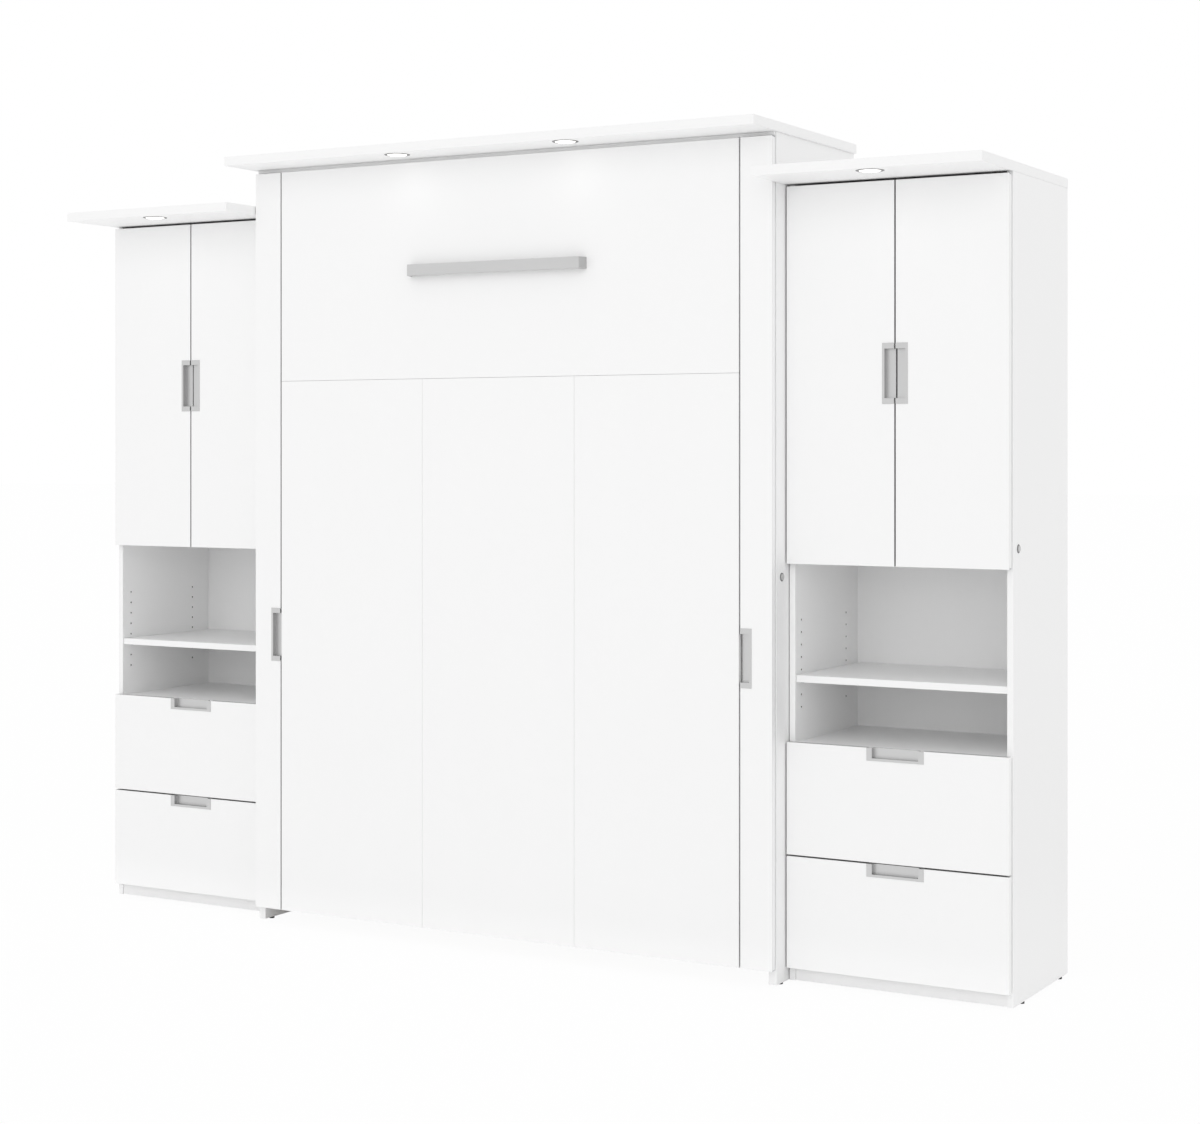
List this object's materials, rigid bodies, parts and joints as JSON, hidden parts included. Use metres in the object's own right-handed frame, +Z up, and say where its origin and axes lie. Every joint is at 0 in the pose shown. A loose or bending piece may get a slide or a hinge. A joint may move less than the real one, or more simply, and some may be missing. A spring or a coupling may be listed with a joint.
{
  "type": "wall bed",
  "caption": "White fold-down wall bed between storage towers with cupboards, open niches, drawers and lit crowns.",
  "frame": {"origin": "on the floor, under the middle of the whole set's box", "axes": "+X to the right seen from the front, +Y back to the wall, +Z up"},
  "size_m": [2.849, 0.645, 2.19],
  "materials": {
    "white_board": "satin white melamine with thin edge bands",
    "white_door": "satin white melamine fronts",
    "back_board": "thin white-faced fibreboard",
    "frame_wood": "clear-sealed birch plywood",
    "slat_wood": "sanded beech laths",
    "drawer_wood": "white foil-wrapped board",
    "nickel": "brushed satin nickel",
    "steel": "black powder-coated steel",
    "rod_steel": "ground and chromed rod",
    "cylinder_paint": "black painted tube",
    "zinc": "zinc-plated steel",
    "lens": "frosted diffuser",
    "button_cap": "grey moulded cap",
    "glide_plastic": "black nylon"
  },
  "bodies": {
    "cabinet": {"bed_crown": "white_board", "bed_side_left": "white_board", "bed_side_right": "white_board", "bed_partitions": "white_board", "bed_back_panel": "back_board", "wall_rails": "white_board", "stop_rails": "white_board", "left_tower_crown": "white_board", "right_tower_crown": "white_board", "left_tower_sides": "white_board", "right_tower_sides": "white_board", "tower_backs": "back_board", "tower_fixed_shelves": "white_board", "tower_toe_boards": "white_board", "adjustable_shelves": "white_board", "shelf_pins": "zinc", "light_housings": "nickel", "light_lenses": "lens", "button_bezels": "nickel", "hinge_brackets": "zinc", "pivot_plates": "steel", "strut_anchors": "steel", "drawer_strips": "drawer_wood", "glides": "glide_plastic"},
    "bed": {"bed_upper_panel": "white_door", "bed_lower_panels": "white_door", "bed_handle": "nickel", "bed_side_rails": "frame_wood", "bed_end_rails": "frame_wood", "bed_slats": "slat_wood", "bed_lift_arms": "steel"},
    "strut_bodies": {"strut_cylinders": "cylinder_paint"},
    "strut_pistons": {"strut_rods": "rod_steel"},
    "left_pilaster_door_leaf": {"left_pilaster_door": "white_door", "left_pilaster_door_pull": "nickel"},
    "left_tower_inner_door_leaf": {"left_tower_inner_door": "white_door", "left_tower_inner_door_pull": "nickel"},
    "left_tower_outer_door_leaf": {"left_tower_outer_door": "white_door", "left_tower_outer_door_pull": "nickel"},
    "left_upper_drawer": {"left_upper_drawer_front": "white_door", "left_upper_drawer_box": "drawer_wood", "left_upper_drawer_pull": "nickel"},
    "left_lower_drawer": {"left_lower_drawer_front": "white_door", "left_lower_drawer_box": "drawer_wood", "left_lower_drawer_pull": "nickel"},
    "right_pilaster_door_leaf": {"right_pilaster_door": "white_door", "right_pilaster_door_pull": "nickel"},
    "right_tower_inner_door_leaf": {"right_tower_inner_door": "white_door", "right_tower_inner_door_pull": "nickel"},
    "right_tower_outer_door_leaf": {"right_tower_outer_door": "white_door", "right_tower_outer_door_pull": "nickel"},
    "right_upper_drawer": {"right_upper_drawer_front": "white_door", "right_upper_drawer_box": "drawer_wood", "right_upper_drawer_pull": "nickel"},
    "right_lower_drawer": {"right_lower_drawer_front": "white_door", "right_lower_drawer_box": "drawer_wood", "right_lower_drawer_pull": "nickel"},
    "bed_button_cap": {"bed_button": "button_cap"},
    "left_tower_button_cap": {"left_tower_button": "button_cap"},
    "right_tower_button_cap": {"right_tower_button": "button_cap"}
  },
  "joints": [
    {"name": "bed_fold", "type": "hinge", "parent": "cabinet", "child": "bed", "pos_m": [0, -0.1175, 0.106], "axis": [1, 0, 0], "range_deg": [0, 90], "stiffness_Nm_per_rad": 60, "springref_deg": -40.11},
    {"name": "strut_swing", "type": "hinge", "parent": "cabinet", "child": "strut_bodies", "pos_m": [0, 0.1125, 0.96], "axis": [1, 0, 0], "range_deg": [-13, 0.5]},
    {"name": "strut_stroke", "type": "slide", "parent": "strut_bodies", "child": "strut_pistons", "axis": [0, -0.0933, -0.9956], "range_m": [-0.12, 0.002]},
    {"name": "left_pilaster_door_swing", "type": "hinge", "parent": "cabinet", "child": "left_pilaster_door_leaf", "pos_m": [-0.8145, -0.1865, 1.0985], "axis": [0, 0, -1], "range_deg": [0, 90]},
    {"name": "left_tower_inner_door_swing", "type": "hinge", "parent": "cabinet", "child": "left_tower_inner_door_leaf", "pos_m": [-0.8325, -0.1135, 1.548], "axis": [0, 0, 1], "range_deg": [0, 90]},
    {"name": "left_tower_outer_door_swing", "type": "hinge", "parent": "cabinet", "child": "left_tower_outer_door_leaf", "pos_m": [-1.4115, -0.1135, 1.548], "axis": [0, 0, -1], "range_deg": [0, 90]},
    {"name": "left_upper_drawer_slide", "type": "slide", "parent": "cabinet", "child": "left_upper_drawer", "axis": [0, -1, 0], "range_m": [0, 0.28]},
    {"name": "left_lower_drawer_slide", "type": "slide", "parent": "cabinet", "child": "left_lower_drawer", "axis": [0, -1, 0], "range_m": [0, 0.28]},
    {"name": "right_pilaster_door_swing", "type": "hinge", "parent": "cabinet", "child": "right_pilaster_door_leaf", "pos_m": [0.8145, -0.1865, 1.0985], "axis": [0, 0, 1], "range_deg": [0, 90]},
    {"name": "right_tower_inner_door_swing", "type": "hinge", "parent": "cabinet", "child": "right_tower_inner_door_leaf", "pos_m": [0.8325, -0.1135, 1.548], "axis": [0, 0, -1], "range_deg": [0, 90]},
    {"name": "right_tower_outer_door_swing", "type": "hinge", "parent": "cabinet", "child": "right_tower_outer_door_leaf", "pos_m": [1.4115, -0.1135, 1.548], "axis": [0, 0, 1], "range_deg": [0, 90]},
    {"name": "right_upper_drawer_slide", "type": "slide", "parent": "cabinet", "child": "right_upper_drawer", "axis": [0, -1, 0], "range_m": [0, 0.28]},
    {"name": "right_lower_drawer_slide", "type": "slide", "parent": "cabinet", "child": "right_lower_drawer", "axis": [0, -1, 0], "range_m": [0, 0.28]},
    {"name": "bed_button_press", "type": "slide", "parent": "cabinet", "child": "bed_button_cap", "axis": [-1, 0, 0], "range_m": [0, 0.0015], "stiffness_N_per_m": 400},
    {"name": "left_tower_button_press", "type": "slide", "parent": "cabinet", "child": "left_tower_button_cap", "axis": [1, 0, 0], "range_m": [0, 0.0015], "stiffness_N_per_m": 400},
    {"name": "right_tower_button_press", "type": "slide", "parent": "cabinet", "child": "right_tower_button_cap", "axis": [-1, 0, 0], "range_m": [0, 0.0015], "stiffness_N_per_m": 400}
  ],
  "couplings": [
    {"joint": "strut_swing", "follows": "bed_fold", "ratio": -0.14156},
    {"joint": "strut_stroke", "follows": "bed_fold", "m_per_rad": -0.074561}
  ]
}
